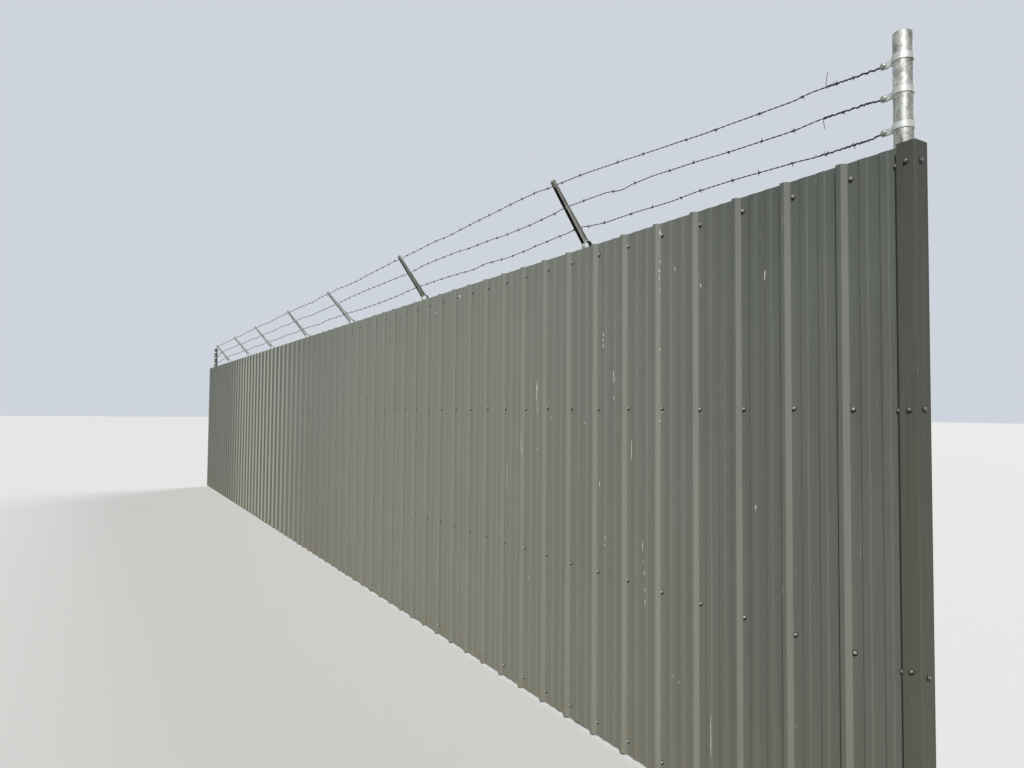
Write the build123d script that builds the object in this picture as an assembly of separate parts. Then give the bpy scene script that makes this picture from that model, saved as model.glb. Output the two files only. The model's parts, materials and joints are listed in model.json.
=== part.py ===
from build123d import *
import math
import os

# Sheet metal privacy fence, in millimetres. The origin is the centre of the near end post's foot.
# The fence runs towards -X, its ribbed front faces -Y, and +Z is up.

# Clearances
SEAT = 0.3                      # between a piece and the curved or loose seat that carries it
BUTT = 1.0                      # between the ends of two boards in a row
STRAND_END = 0.8                # between the end of a strand and the ears it is tied to

# Ribbed sheets
SHEET_STEEL = 0.6
SHEET_HEIGHT = 2438.0
GROUND_GAP = 12.0
SHEET_TOP = GROUND_GAP + SHEET_HEIGHT
RIB_PITCH = 228.6
RIBS_PER_SHEET = 4
RIB_HEIGHT = 19.0
RIB_BASE = 46.0
RIB_CREST = 18.0
MINOR_HEIGHT = 3.0
MINOR_BASE = 34.0
MINOR_CREST = 26.0
MINORS_PER_PAN = 2
FULL_SHEETS = 15
NEAR_CUT_RIBS = 1               # pitches left in the sheet that was cut for the near end
FAR_CUT_RIBS = 3                # and in its other part, at the far end
EDGE_FLANGE = 5.0
FIRST_RIB = -50.6               # centre of the rib under the corner trim, along the fence

# Corner trim on the near end
TRIM_STEEL = 0.6
TRIM_LENGTH = SHEET_HEIGHT      # cut to the same length as the sheets
TRIM_FRONT = 59.0
TRIM_RETURN = 70.0
TRIM_RISE = 5.0                 # how far it stands above the sheets
TRIM_MARGIN = 10.0              # from the near rib's foot to the inside of the return

# Posts: steel pipe, set in a line, measured along the fence from the near end post
POST_OD = 60.3
POST_WALL = 3.9
POST_RISE = 7.0                 # how far the line posts stand above the sheets
END_RISE = 394.0                # how far the end posts stand above the line posts
BAYS = (1710.0, 2110.0, 1800.0, 1670.0, 1890.0, 1670.0, 1850.0)           # up to the last line post
FAR_SETBACK = 202.8             # from the far end of the sheets to the far end post
LINE_POST_TOP = SHEET_TOP + POST_RISE
END_POST_TOP = LINE_POST_TOP + END_RISE

# Girts: boards on the flat in four rows, butted at every second post
GIRT_DEPTH = 38.0
GIRT_HEIGHT = 89.0
GIRT_DROP = 68.0                # from the top of the sheets to the middle of the top row
GIRT_LEVELS = {"top": SHEET_TOP - GIRT_DROP, "upper": 1618.0, "lower": 812.0, "bottom": 75.0}
POSTS_PER_BOARD = 2

# Straps that hold the girts to the posts, folded in flats
STRAP_STEEL = 3.0
STRAP_WIDTH = 40.0
STRAP_EAR = 34.0
STRAP_SIDES = 8                 # as in a full turn round the post

# Barb arms: a cup over the post, an open rail loop on it, and a channel leaning out over the front
ARM_STEEL = 3.0
CUP_DROP = 30.0
CUP_SIDES = 12                  # cup, loop and bands are pressed in flats
LOOP_OD = 53.0
LOOP_WIDTH = 30.0
LOOP_SINK = 0.6                 # how deep the loop is pressed into the top of the cup
ARM_ANGLES = (52.7, 52.3, 46.5, 48.5, 48.0, 48.0, 49.5)     # above level, each bent a little its own way
ARM_LENGTH = 386.0              # from the centre of the loop
ARM_WIDTH = 26.0
ARM_WEB = 20.0                  # from the line through the loop to the back of the web
ARM_BASE_DEPTH = 36.0
ARM_TIP_DEPTH = 20.0
ARM_SHOULDER = 5.0
NOSE_SIDES = 8
SLOT_PLAY = 1.0

# Barbed strands, as plain bars over the twisted wires
STRAND_OD = 5.0
STRAND_SIDES = 8
STRAND_PITCH = 127.0
FIRST_STRAND = 102.0            # from the centre of the loop, along the arm
STRAND_LINE = 8.5               # from the line through the loop, towards the web
STRAND_LEAD = 30.0              # straight length on each side of an arm

# Bands that hold the strands to the end posts, bottom, middle and top
BAND_STEEL = 2.5
BAND_WIDTH = 22.0
BAND_EAR = 46.0                 # from the outside of the post to the end of the ears
BAND_GAP = 3.0                  # between the two ears
EAR_CORNER = 5.0                # cut off the corners of the ears
BAND_DROPS = (312.0, 195.0, 84.0)                           # below the top of the end posts
STRAND_NAMES = ("bottom_strand", "middle_strand", "top_strand")

# Places worked out from the sizes above
POST_R = POST_OD / 2
GIRT_BACK = -(POST_R + SEAT)
GIRT_FRONT = GIRT_BACK - GIRT_DEPTH
PAN_FRONT = GIRT_FRONT - SHEET_STEEL
CREST_FRONT = PAN_FRONT - RIB_HEIGHT

RIB_RUN = (RIB_BASE - RIB_CREST) / 2
RIB_SLOPE = math.atan2(RIB_HEIGHT, RIB_RUN)
NEST = SHEET_STEEL + SEAT       # how far a lapped rib lies inside the one over it

NEAR_FOOT = FIRST_RIB - RIB_BASE / 2
TRIM_INSIDE = -(NEAR_FOOT - TRIM_MARGIN)
SHEET_PITCHES = [round(NEAR_CUT_RIBS)] + [RIBS_PER_SHEET] * round(FULL_SHEETS) + [round(FAR_CUT_RIBS)]
FAR_END = FIRST_RIB + RIB_PITCH * sum(SHEET_PITCHES) + RIB_BASE / 2
POSTS = [sum(BAYS[:i]) for i in range(len(BAYS) + 1)] + [FAR_END - FAR_SETBACK]
LINE_POSTS = POSTS[1:-1]

LOOP_R = LOOP_OD / 2
CUP_R = POST_R + SEAT + ARM_STEEL
CUP_TOP = LINE_POST_TOP + ARM_STEEL
LOOP_Z = CUP_TOP + LOOP_R - LOOP_SINK
STRAND_R = STRAND_OD / 2


def flat_sided(radius, sides):
    """A polygon with flats the given distance from its centre, and one flat square to X."""
    return RegularPolygon(radius, sides, major_radius=False, rotation=180 / sides)


def rib(centre, inset=0.0):
    """Outer corners of a major rib; an inset rib nests inside a plain one of the same centre."""
    foot = RIB_BASE / 2 - inset / math.sin(RIB_SLOPE)
    crest = RIB_CREST / 2 - inset * math.tan(RIB_SLOPE / 2)
    top = RIB_HEIGHT - inset
    return [(centre - foot, 0), (centre - crest, top), (centre + crest, top), (centre + foot, 0)]


def minor_ribs(near_rib):
    """Outer corners of the low ribs that share the pan beyond a major rib evenly."""
    pan = RIB_PITCH - RIB_BASE
    flat = (pan - MINORS_PER_PAN * MINOR_BASE) / (MINORS_PER_PAN + 1)
    points = []
    for i in range(MINORS_PER_PAN):
        centre = near_rib + RIB_BASE / 2 + flat * (i + 1) + MINOR_BASE * (i + 0.5)
        points += [
            (centre - MINOR_BASE / 2, 0),
            (centre - MINOR_CREST / 2, MINOR_HEIGHT),
            (centre + MINOR_CREST / 2, MINOR_HEIGHT),
            (centre + MINOR_BASE / 2, 0),
        ]
    return points


def sheet(first_rib, pitches, lapped):
    """A ribbed sheet; its near rib lies under the sheet before it where it is lapped."""
    points = rib(first_rib, NEST if lapped else 0.0)
    if lapped:
        drop = SHEET_STEEL * (1 - math.cos(RIB_SLOPE))
        points[0] = (points[0][0] - drop / math.tan(RIB_SLOPE), -drop)
    else:
        points.insert(0, (points[0][0] - EDGE_FLANGE, 0))
    for i in range(pitches):
        points += minor_ribs(first_rib + RIB_PITCH * i)
        points += rib(first_rib + RIB_PITCH * (i + 1))
    lift = SEAT + SHEET_STEEL * math.cos(RIB_SLOPE)
    points[-1] = (points[-1][0] - lift / math.tan(RIB_SLOPE), lift)
    front = Polyline(*[(-u, PAN_FRONT - h) for u, h in points])
    outline = offset(front, SHEET_STEEL, side=Side.RIGHT, kind=Kind.INTERSECTION, closed=True)
    section = make_face(outline)
    return extrude(Pos(0, 0, GROUND_GAP) * section, SHEET_HEIGHT)


def sheets():
    """All the sheets, from the near end to the far end."""
    made = []
    first_rib = FIRST_RIB
    for i, pitches in enumerate(SHEET_PITCHES):
        made.append(sheet(first_rib, pitches, lapped=i > 0))
        first_rib += RIB_PITCH * pitches
    return made


def post(u, top):
    """A pipe with open ends, standing on the ground."""
    wall = Circle(POST_R) - Circle(POST_R - POST_WALL)
    return extrude(Pos(-u, 0, 0) * wall, top)


def girt(level):
    """One row of boards with their joints on the posts."""
    joints = POSTS[POSTS_PER_BOARD:-1:POSTS_PER_BOARD]
    near_end = -TRIM_INSIDE + SEAT
    starts = [near_end] + [u + BUTT / 2 for u in joints]
    ends = [u - BUTT / 2 for u in joints] + [FAR_END]
    boards = []
    for start, end in zip(starts, ends):
        centre = Pos(-(start + end) / 2, (GIRT_BACK + GIRT_FRONT) / 2, level)
        boards.append(centre * Box(end - start, GIRT_DEPTH, GIRT_HEIGHT))
    return Compound(children=boards)


def strap(u, level):
    """A strap round the back of a post, with an ear on the girt at each side."""
    inner = POST_R + SEAT
    outer = inner + STRAP_STEEL
    back = flat_sided(outer, STRAP_SIDES) - flat_sided(inner, STRAP_SIDES)
    back -= Pos(0, -outer) * Rectangle(4 * outer, 2 * outer)
    leg_length = -GIRT_BACK
    legs = [Pos(side * (inner + STRAP_STEEL / 2), -leg_length / 2) * Rectangle(STRAP_STEEL, leg_length)
            for side in (-1, 1)]
    ear_middle = inner + STRAP_EAR / 2
    ears = [Pos(side * ear_middle, GIRT_BACK + STRAP_STEEL / 2) * Rectangle(STRAP_EAR, STRAP_STEEL)
            for side in (-1, 1)]
    section = back + legs + ears
    return extrude(Pos(-u, 0, level - STRAP_WIDTH / 2) * section, STRAP_WIDTH)


def corner_trim():
    """An angle over the near rib and round the ends of the girts."""
    outer = Polyline(
        (TRIM_INSIDE + TRIM_STEEL - TRIM_FRONT, CREST_FRONT - TRIM_STEEL),
        (TRIM_INSIDE + TRIM_STEEL, CREST_FRONT - TRIM_STEEL),
        (TRIM_INSIDE + TRIM_STEEL, CREST_FRONT - TRIM_STEEL + TRIM_RETURN),
    )
    outline = offset(outer, TRIM_STEEL, side=Side.LEFT, kind=Kind.INTERSECTION, closed=True)
    bottom = SHEET_TOP + TRIM_RISE - TRIM_LENGTH
    return extrude(Pos(0, 0, bottom) * make_face(outline), TRIM_LENGTH)


def barb_arm(u, angle):
    """A pressed arm: cup, rail loop and slotted channel, in the post's own plane."""
    cup = extrude(Pos(0, 0, LINE_POST_TOP - CUP_DROP) * flat_sided(CUP_R, CUP_SIDES), CUP_DROP + ARM_STEEL)
    inside = flat_sided(CUP_R - ARM_STEEL, CUP_SIDES)
    cup -= extrude(Pos(0, 0, LINE_POST_TOP - CUP_DROP) * inside, CUP_DROP)

    # The arm's own frame: local X is across, local Y towards the web, local Z along the arm
    slope = math.radians(angle)
    along = (0, -math.cos(slope), math.sin(slope))
    frame = Plane(origin=(0, 0, LOOP_Z), x_dir=(1, 0, 0), z_dir=along)

    outer = Pos(0, ARM_WEB - ARM_BASE_DEPTH / 2) * Rectangle(ARM_WIDTH, ARM_BASE_DEPTH)
    outer = chamfer(outer.vertices().group_by(Axis.Y)[-1], ARM_SHOULDER)
    inner_depth = ARM_BASE_DEPTH - ARM_STEEL
    inner = Pos(0, ARM_WEB - ARM_STEEL - inner_depth / 2) * Rectangle(ARM_WIDTH - 2 * ARM_STEEL, inner_depth)
    inner = chamfer(inner.vertices().group_by(Axis.Y)[-1], ARM_SHOULDER - ARM_STEEL)
    nose_r = ARM_TIP_DEPTH / 2
    channel = extrude(outer - inner, ARM_LENGTH - nose_r)

    # Each flange narrows from the loop to the tip
    side = Plane.YZ
    low = ARM_WEB - ARM_BASE_DEPTH
    tip_low = ARM_WEB - ARM_TIP_DEPTH
    end = ARM_LENGTH - nose_r
    waste = Polyline((low, LOOP_R), (tip_low, end), (low, end), close=True)
    channel -= extrude(side * make_face(waste), ARM_WIDTH, both=True)

    # The web curls over the tip
    nose = flat_sided(nose_r, NOSE_SIDES) - flat_sided(nose_r - ARM_STEEL, NOSE_SIDES)
    nose -= Pos(0, -nose_r) * Rectangle(2 * nose_r, 2 * nose_r)
    channel += extrude(side * Pos(ARM_WEB - nose_r, end) * nose, ARM_WIDTH / 2, both=True)

    # A slot for each strand, open at the back of the web
    floor = STRAND_LINE - STRAND_R - SEAT
    for i in range(len(STRAND_NAMES)):
        slot_z = FIRST_STRAND + STRAND_PITCH * i
        depth = ARM_WEB - floor
        channel -= Pos(0, floor + depth / 2, slot_z) * Box(ARM_WIDTH, depth, STRAND_OD + 2 * SLOT_PLAY)

    ring = Plane.YZ * flat_sided(LOOP_R, CUP_SIDES)
    hole = Plane.YZ * flat_sided(LOOP_R - ARM_STEEL, CUP_SIDES)
    loop = Pos(0, 0, LOOP_Z) * extrude(ring, LOOP_WIDTH / 2, both=True)
    opening = Pos(0, 0, LOOP_Z) * extrude(hole, LOOP_WIDTH / 2, both=True)
    arm = cup + loop + frame * channel - opening
    return Pos(-u, 0, 0) * arm


def strand_place(index, angle):
    """Where a strand crosses an arm, as Y and Z."""
    slope = math.radians(angle)
    along = FIRST_STRAND + STRAND_PITCH * index
    y = -along * math.cos(slope) + STRAND_LINE * math.sin(slope)
    z = LOOP_Z + along * math.sin(slope) + STRAND_LINE * math.cos(slope)
    return y, z


def strand(index):
    """A strand from the ears of one end post, through its slot in every arm, to the other's."""
    reach = POST_R + BAND_EAR + STRAND_END
    level = END_POST_TOP - BAND_DROPS[index]
    points = [(-reach, 0, level)]
    for u, angle in zip(LINE_POSTS, ARM_ANGLES):
        y, z = strand_place(index, angle)
        points += [(-(u - STRAND_LEAD), y, z), (-(u + STRAND_LEAD), y, z)]
    points.append((-(POSTS[-1] - reach), 0, level))
    path = Polyline(*points)
    section = Plane(path @ 0, z_dir=path % 0) * RegularPolygon(STRAND_R, STRAND_SIDES)
    return sweep(section, path, transition=Transition.RIGHT)


def band(u, level, towards):
    """A band round an end post, with two ears that point along the fence."""
    inner = POST_R + SEAT
    ring = flat_sided(inner + BAND_STEEL, CUP_SIDES)
    ear_y = BAND_GAP / 2 + BAND_STEEL / 2
    reach = POST_R + BAND_EAR
    for side in (-1, 1):
        ring += Pos(towards * reach / 2, side * ear_y) * Rectangle(reach, BAND_STEEL)
    ring -= flat_sided(inner, CUP_SIDES)
    ring -= Pos(towards * reach / 2, 0) * Rectangle(reach, BAND_GAP)
    made = extrude(Pos(0, 0, -BAND_WIDTH / 2) * ring, BAND_WIDTH)
    top = BAND_WIDTH / 2
    for end in (-1, 1):
        corner = Polyline(
            (towards * reach, end * top),
            (towards * (reach - EAR_CORNER), end * top),
            (towards * reach, end * (top - EAR_CORNER)),
            close=True,
        )
        made -= extrude(Plane.XZ * make_face(corner), inner, both=True)
    return Pos(-u, 0, level) * made


def bands(u, towards):
    """The three bands of one end post."""
    return Compound(children=[band(u, END_POST_TOP - drop, towards) for drop in BAND_DROPS])


def build():
    """Every node of the fence by its name."""
    nodes = {}
    for i, made in enumerate(sheets(), start=1):
        nodes[f"sheet_{i:02d}"] = made
    nodes["corner_trim"] = corner_trim()

    nodes["near_post"] = post(POSTS[0], END_POST_TOP)
    nodes["far_post"] = post(POSTS[-1], END_POST_TOP)
    for i, u in enumerate(LINE_POSTS, start=1):
        nodes[f"line_post_{i}"] = post(u, LINE_POST_TOP)
        nodes[f"barb_arm_{i}"] = barb_arm(u, ARM_ANGLES[i - 1])

    for name, level in GIRT_LEVELS.items():
        nodes[f"girt_{name}"] = girt(level)
        nodes[f"girt_straps_{name}"] = Compound(children=[strap(u, level) for u in POSTS])

    nodes["near_bands"] = bands(POSTS[0], towards=-1)
    nodes["far_bands"] = bands(POSTS[-1], towards=1)
    for i, name in enumerate(STRAND_NAMES):
        nodes[name] = strand(i)
    return nodes


os.makedirs("parts", exist_ok=True)
for name, shape in build().items():
    shape.label = name
    export_step(shape, f"parts/{name}.step")
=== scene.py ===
import json
import random
from math import atan2, cos, pi, radians, sin, sqrt, tan

import bmesh
import bpy
from mathutils import Matrix, Vector

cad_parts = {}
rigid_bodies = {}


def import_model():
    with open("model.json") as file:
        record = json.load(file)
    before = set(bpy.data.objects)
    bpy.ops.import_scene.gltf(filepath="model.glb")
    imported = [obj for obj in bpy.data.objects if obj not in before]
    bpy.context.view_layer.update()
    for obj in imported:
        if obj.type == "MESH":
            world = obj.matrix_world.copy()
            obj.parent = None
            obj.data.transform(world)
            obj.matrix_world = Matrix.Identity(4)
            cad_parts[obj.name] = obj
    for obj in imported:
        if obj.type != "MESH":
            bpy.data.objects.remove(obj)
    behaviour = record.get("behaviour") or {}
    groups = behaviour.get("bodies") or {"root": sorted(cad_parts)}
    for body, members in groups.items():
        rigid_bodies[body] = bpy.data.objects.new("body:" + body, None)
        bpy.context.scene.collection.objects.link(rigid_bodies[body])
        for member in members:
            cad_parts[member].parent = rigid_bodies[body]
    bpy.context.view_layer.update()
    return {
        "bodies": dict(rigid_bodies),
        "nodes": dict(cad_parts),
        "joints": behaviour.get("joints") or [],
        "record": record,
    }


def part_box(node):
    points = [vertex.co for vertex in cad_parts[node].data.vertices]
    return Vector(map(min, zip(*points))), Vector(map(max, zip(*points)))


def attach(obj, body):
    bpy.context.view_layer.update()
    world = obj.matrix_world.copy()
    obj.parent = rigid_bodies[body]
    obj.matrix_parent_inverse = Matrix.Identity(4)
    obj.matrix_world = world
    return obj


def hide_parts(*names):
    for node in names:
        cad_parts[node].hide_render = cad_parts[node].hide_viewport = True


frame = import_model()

# Ribbed sheet fence, in metres, in the frame of the CAD: the near end post's foot is the origin, the fence runs
# to -X, its ribbed front faces -Y and +Z is up. Places along the fence are written as u, which is -X.
RNG = random.Random(11)

# Sizes shared with the CAD
POST_R = 0.03015
POST_WALL = 0.0039
SEAT = 0.0003
POSTS = [0, 1.71, 3.82, 5.62, 7.29, 9.18, 10.85, 12.7, 14.4]
SHEET_STEEL = 0.0006
SHEET_BOTTOM = 0.012
SHEET_TOP = 2.45
PAN = -0.06905  # front of the pans
CREST = -0.08805  # front of the major ribs
RIB_PITCH = 0.2286
RIB_HEIGHT = 0.019
RIB_BASE = 0.046
RIB_CREST = 0.018
MINOR_HEIGHT = 0.003
MINOR_BASE = 0.034
MINOR_CREST = 0.026
FIRST_RIB = -0.0506
SHEET_PITCHES = [1] + [4] * 15 + [3]
FAR_END = 14.6028
NEAR_END = -0.0836  # inside of the corner trim's return
GIRT_BACK = -0.03045
GIRT_DEPTH = 0.038
GIRT_HEIGHT = 0.089
GIRT_LEVELS = {"top": 2.382, "upper": 1.618, "lower": 0.812, "bottom": 0.075}
LINE_POST_TOP = 2.457
END_POST_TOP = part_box("near_post")[1][2]
LOOP_R = 0.0265
LOOP_Z = 2.4859
ARM_ANGLES = (52.7, 52.3, 46.5, 48.5, 48, 48, 49.5)
ARM_LENGTH = 0.386
ARM_WEB = 0.02
STRAND_PITCH = 0.127
FIRST_STRAND = 0.102
STRAND_LINE = 0.0085
BAND_LEVELS = [END_POST_TOP - drop for drop in (0.312, 0.195, 0.084)]
EAR_END = 0.07615  # end of a band's ears, from the post's axis
BOLT_OUT = 0.065  # the bolt through them

UP = Vector((0, 0, 1))
STEEL = "galvanised_steel"
LENGTH = 14.6  # the materials' measure along the fence, from 0 to 1
HEIGHT = 2.5  # and up it


# ---- materials

def plug(tree, node, sockets):
    """Link other nodes' outputs to a node's sockets, or set constants on them."""
    for key, value in sockets.items():
        socket = node.inputs[key]
        if hasattr(value, "is_linked"):
            tree.links.new(value, socket)
        else:
            socket.default_value = (*value, 1) if socket.type == "RGBA" else value
    return node


def add_node(tree, kind, sockets, **settings):
    node = tree.nodes.new("ShaderNode" + kind)
    for key, value in settings.items():
        setattr(node, key, value)
    return plug(tree, node, sockets)


def srgb(*levels):
    """A colour written as eight-bit sRGB, none of it near black, in linear values."""
    return tuple(((c / 255 + 0.055) / 1.055) ** 2.4 for c in levels)


def shade(colour, k):
    return tuple(c * k for c in colour)


class Nodes:
    """Builds one node material, whose colour is laid on coat by coat."""

    def __init__(self, name):
        self.material = bpy.data.materials.new(name)
        self.material.use_nodes = True
        self.tree = self.material.node_tree
        self.where = self.add("TexCoord", {}).outputs
        self.colour = None

    def add(self, kind, sockets, **settings):
        return add_node(self.tree, kind, sockets, **settings)

    def mapped(self, stretch, offset=(0, 0, 0)):
        return self.add("Mapping", {"Vector": self.where["Object"], "Scale": stretch, "Location": offset}).outputs[0]

    def noise(self, scale, detail, roughness, stretch=(1, 1, 1), offset=(0, 0, 0), distortion=0, vector=None):
        if vector is None:
            vector = self.mapped(stretch, offset)
        return self.add("TexNoise", {"Vector": vector, "Scale": scale, "Detail": detail, "Roughness": roughness,
                                     "Distortion": distortion}).outputs["Fac"]

    def cells(self, scale, stretch=(1, 1, 1), offset=(0, 0, 0)):
        return self.add("TexVoronoi", {"Vector": self.mapped(stretch, offset), "Scale": scale}).outputs

    def ramp(self, value, *stops):
        """The tone, or the grey, between stops of a position and a tone."""
        node = self.add("ValToRGB", {"Fac": value})
        elements = node.color_ramp.elements
        while len(elements) < len(stops):
            elements.new(0.5)
        for element, (position, tone) in zip(elements, stops):
            element.position = position
            element.color = (*tone, 1) if isinstance(tone, tuple) else (tone, tone, tone, 1)
        return node.outputs["Color"]

    def math(self, kind, a, b=0):
        return self.add("Math", {0: a, 1: b}, operation=kind).outputs[0]

    def mix(self, amount, a, b, blend="MIX"):
        return self.add("Mix", {0: amount, 6: a, 7: b}, data_type="RGBA", blend_type=blend).outputs[2]

    def both(self, a, b):
        return self.mix(1, a, b, "MULTIPLY")

    def lay(self, tint, amount, blend="MIX"):
        self.colour = self.mix(amount, self.colour, tint, blend)

    def over(self, tint, value, *stops):
        """Lay a tint on, as much as a ramp of the value says."""
        self.lay(tint, self.ramp(value, *stops))

    def axis(self, letter, source="Object"):
        """One axis of the place in metres, or of the way that a face looks."""
        return self.add("SeparateXYZ", {0: self.where[source]}).outputs[letter]

    def bump(self, *parts):
        """A chain of bumps, each a height value, its strength and its depth in metres."""
        sockets = {}
        for value, strength, distance in parts:
            node = self.add("Bump", {**sockets, "Height": value, "Strength": strength, "Distance": distance})
            sockets = {"Normal": node.outputs["Normal"]}
        plug(self.tree, self.tree.nodes["Principled BSDF"], sockets)

    def finish(self, roughness, metallic=0, gloss=0.5):
        plug(self.tree, self.tree.nodes["Principled BSDF"],
             {"Base Color": self.colour, "Roughness": roughness, "Metallic": metallic, "Specular IOR Level": gloss})
        return self.material


def painted_sheet(name, base, grime=1, light_and_shade=0):
    """Weathered paint. The last argument puts painted light and shade along the front, and sets how bright the near
    ribs get.
    """
    m = Nodes(name)
    base = srgb(*base)
    z = m.axis("Z")
    height = m.math("DIVIDE", z, HEIGHT)
    clouds = m.noise(2.3, 4, 0.6, (1, 1, 0.35))
    m.colour = m.ramp(clouds, (0.3, shade(base, 0.91)), (0.52, base), (0.74, shade(base, 1.07)))
    # a warm film of dust lower down, thinnest where rain reaches, and the faint lines that the rolls leave
    m.over(srgb(130, 129, 104), height, (0.1, 0.23), (0.42, 0.15), (0.78, 0.05), (0.97, 0))
    # painted shade, darker towards the top
    m.over(shade(base, 0.62), height, (0.83, 0), (0.98, 0.3))
    rolled = m.noise(1, 1, 0.5, (330, 330, 0.03), (1.3, 0, 0))
    m.over(shade(base, 0.72), rolled, (0.4, 0.16), (0.5, 0))
    m.over(shade(base, 1.4), rolled, (0.52, 0), (0.62, 0.12))
    streaks = m.noise(1, 4, 0.62, (55, 55, 0.9), (3.1, 0, 0))
    m.over(srgb(150, 148, 136), streaks, (0.5, 0), (0.75, 0.13 * grime))
    runs = m.noise(1, 3, 0.5, (90, 90, 1.6), (7.7, 0, 2))
    m.over(srgb(78, 78, 72), runs, (0.62, 0), (0.82, 0.16 * grime))
    # fine dust that settles on the whole face
    m.over(srgb(158, 156, 146), m.noise(160, 5, 0.75), (0.55, 0), (0.8, 0.14))
    if light_and_shade:
        # painted reflection: the middle bays lightened and the far ones darkened
        along = m.math("MULTIPLY", m.axis("X"), -1 / LENGTH)
        m.over(srgb(146, 149, 138), along, (0.04, 0), (0.07, 0.32), (0.12, 0.46), (0.17, 0.61), (0.36, 0.6),
               (0.44, 0.44), (0.6, 0.05), (0.75, 0))
        m.over(shade(base, 0.72), along, (0.55, 0), (0.72, 0.55))
        # painted highlight, and painted shade in the middle bays, on the faces of the ribs that look to the near end
        slope = m.axis("X", "Normal")
        facing = m.ramp(slope, (0.6, 0), (0.8, 1))
        painted_highlight = m.ramp(along, (0.06, light_and_shade), (0.12, 0.1), (0.17, 0), (0.46, 0), (0.53, 0.45), (0.6, 0.95),
                       (0.74, 0.95), (0.82, 0.35), (1, 0.2))
        m.lay(srgb(176, 177, 164), m.both(facing, painted_highlight))
        slope_shade = m.ramp(along, (0.1, 0), (0.17, 0.14), (0.42, 0.14), (0.48, 0))
        m.lay(shade(base, 0.62), m.both(facing, slope_shade))
        # painted shade in the corner at the near foot of each rib
        pitches = m.math("MULTIPLY", along, LENGTH / RIB_PITCH)
        place = m.math("FRACT", m.math("ADD", pitches, (RIB_BASE / 2 - FIRST_RIB) / RIB_PITCH))
        corner_shade = m.ramp(along, (0.11, 0), (0.18, 0.34), (0.44, 0.4), (0.52, 0))
        m.lay(shade(base, 0.42), m.both(m.ramp(place, (0.952, 0), (0.966, 1)), corner_shade))
        # painted shade on the faces that look away from the near end
        m.over(shade(base, 0.5), m.math("MULTIPLY", slope, -1), (0.3, 0), (0.7, 0.45))
    # soil splashed up near the ground
    low = m.ramp(z, (0, 1), (0.16, 0.35), (0.5, 0))
    drops = m.ramp(m.noise(22, 6, 0.7, (1, 1, 0.7)), (0.42, 0), (0.66, 0.7))
    m.lay(srgb(136, 122, 100), m.both(low, drops))
    # small scratches, lighter than the paint
    slant = m.add("VectorRotate", {"Vector": m.mapped((240, 240, 9)), "Angle": 0.12}).outputs[0]
    lines = m.ramp(m.noise(1, 2, 0.5, distortion=0.4, vector=slant), (0.715, 0), (0.745, 1))
    patch = m.ramp(m.noise(5, 2, 0.55), (0.5, 0), (0.62, 0.55))
    m.lay(srgb(176, 176, 168), m.both(lines, patch))
    # tiny pale specks
    cells = m.cells(26, offset=(0.3, 0.1, 0.7))
    speck = m.ramp(cells["Distance"], (0.045, 1), (0.075, 0))
    pick = m.ramp(cells["Color"], (0.8, 0), (0.84, 0.8))
    m.lay(srgb(196, 196, 188), m.both(speck, pick))
    rough = m.ramp(m.noise(7, 4, 0.6, (1, 1, 0.5)), (0.3, 0.5), (0.7, 0.64))
    m.bump((m.noise(3.2, 1, 0.4, (1, 1, 0.42)), 0.55, 0.006), (m.noise(900, 2, 0.5), 0.1, 0.0004))
    return m.finish(rough, gloss=0.14)


def galvanised(name, light, dark, size, mottle, rough, metal, seed, gloss=0.5, stains=()):
    """Zinc with a faint spangle, dull darker patches and pale bloom; stains are heights that dirt runs down from."""
    m = Nodes("galvanised_" + name)
    light = srgb(*light)
    dark = srgb(*dark)
    mid = tuple((a + b) / 2 for a, b in zip(light, dark))
    cloud = m.noise(24, 5, 0.68, (1, 1, 0.55), (seed, 0.4, 0.1), 0.4)
    m.colour = m.ramp(cloud, (0.32, dark), (0.5, mid), (0.66, light))
    spangle = m.cells(size, offset=(seed, 0.4, 0.1))["Color"]
    m.lay(m.ramp(spangle, (0.1, dark), (0.9, light)), 0.16)
    blotch = m.noise(48, 6, 0.74, (1, 1, 0.55), (seed, seed, 0), 0.3)
    earthy = tuple(c * k for c, k in zip(dark, (0.5, 0.46, 0.36)))
    m.over(earthy, blotch, (0.5, 0), (0.66, 0.5 * mottle))
    speck = m.noise(210, 3, 0.6, (1, 1, 0.8), (0, seed, 5))
    m.over(shade(earthy, 0.8), speck, (0.58, 0), (0.66, 0.5 * mottle))
    bloom = m.noise(30, 5, 0.7, (1, 1, 0.3), (1.7 + seed, 0, 3))
    m.over(srgb(206, 207, 202), bloom, (0.54, 0), (0.72, 0.55))
    if stains:
        low = stains[0] - 0.1
        span = stains[-1] + 0.1 - low
        stops = [(0, 0)]
        for z in stains:
            stops += [((z - 0.06 - low) / span, 0), ((z - 0.001 - low) / span, 1), ((z - low) / span, 0)]
        below = m.ramp(m.math("DIVIDE", m.math("SUBTRACT", m.axis("Z"), low), span), *stops)
        patchy = m.ramp(m.noise(60, 5, 0.7, (1, 1, 0.6), (9, seed, 2)), (0.4, 0), (0.62, 0.75))
        m.lay(shade(dark, 0.42), m.both(below, patchy))
    wear = m.ramp(m.noise(46, 4, 0.6, offset=(0, 0, seed)), (0.3, rough[0]), (0.7, rough[1]))
    m.bump((m.noise(60, 2, 0.5, (1, 1, 0.5)), 0.22, 0.0012), (m.noise(420, 3, 0.6), 0.18, 0.0003))
    return m.finish(wear, metal, gloss)


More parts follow.
